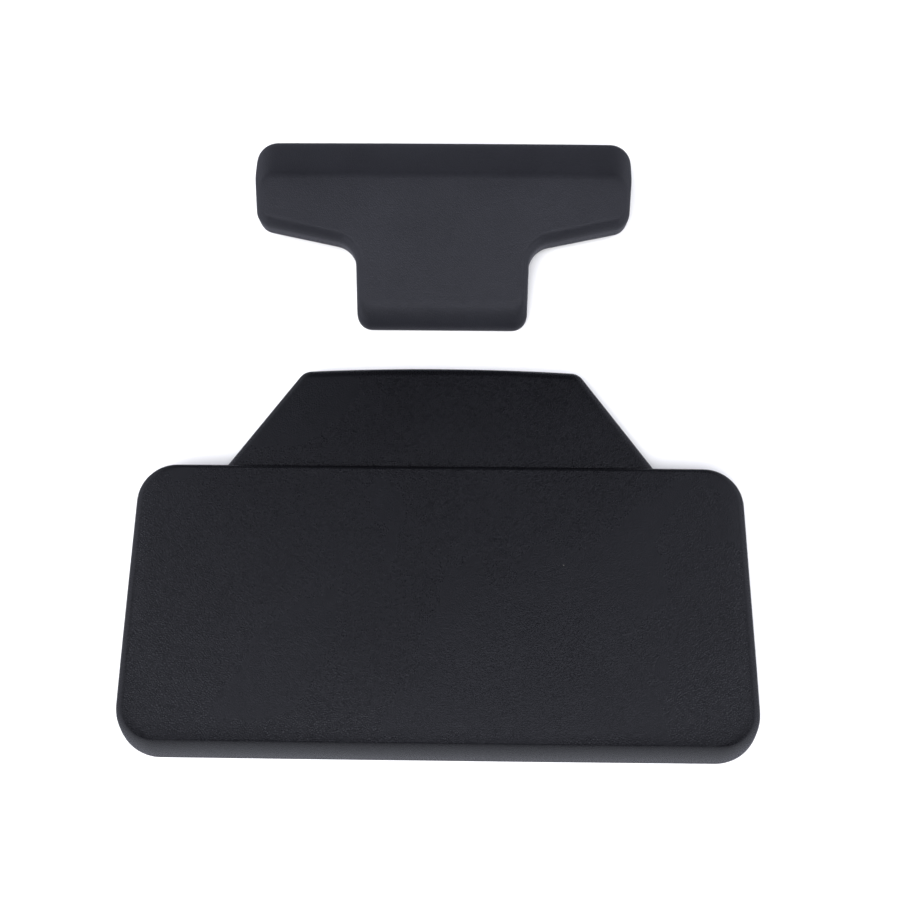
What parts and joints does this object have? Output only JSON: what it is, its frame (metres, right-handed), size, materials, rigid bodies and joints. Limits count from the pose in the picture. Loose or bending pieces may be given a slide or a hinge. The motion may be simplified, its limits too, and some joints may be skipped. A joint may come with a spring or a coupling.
{
  "type": "backrest pad set",
  "caption": "Stick-on moulded backrest pads with a leather-grain skin: a wide rounded cushion with a thinner trapezoid panel, and a T-shaped upper pad with a sloped back.",
  "frame": {"origin": "the middle of the set's footprint, on the surface that the release liners lie on", "axes": "+X across the pads, +Y up the backrest from the wide cushion to the T-shaped pad, +Z out of the padded faces"},
  "size_m": [0.3608, 0.368, 0.0309],
  "materials": {
    "skin": "satin",
    "foam": "matte",
    "board": "matte",
    "foam_tape": "matte",
    "liner": "gloss"
  },
  "bodies": {
    "back_pad": {"cushion_skin": "skin", "panel_skin": "skin", "cushion_foam": "foam", "panel_foam": "foam", "back_board": "board", "back_tape_1": "foam_tape", "back_liner_1": "liner", "back_tape_2": "foam_tape", "back_liner_2": "liner", "back_tape_3": "foam_tape", "back_liner_3": "liner", "back_tape_4": "foam_tape", "back_liner_4": "liner", "back_tape_5": "foam_tape", "back_liner_5": "liner", "back_tape_6": "foam_tape", "back_liner_6": "liner", "back_tape_7": "foam_tape", "back_liner_7": "liner", "back_tape_8": "foam_tape", "back_liner_8": "liner"},
    "upper_pad": {"upper_skin": "skin", "upper_foam": "foam", "upper_board": "board", "upper_tape_1": "foam_tape", "upper_liner_1": "liner", "upper_tape_2": "foam_tape", "upper_liner_2": "liner", "upper_tape_3": "foam_tape", "upper_liner_3": "liner"}
  },
  "joints": [
    {"name": "upper_pad_lift", "type": "slide", "parent": "back_pad", "child": "upper_pad", "axis": [0, 0, 1], "range_m": [0, 0.15]}
  ]
}
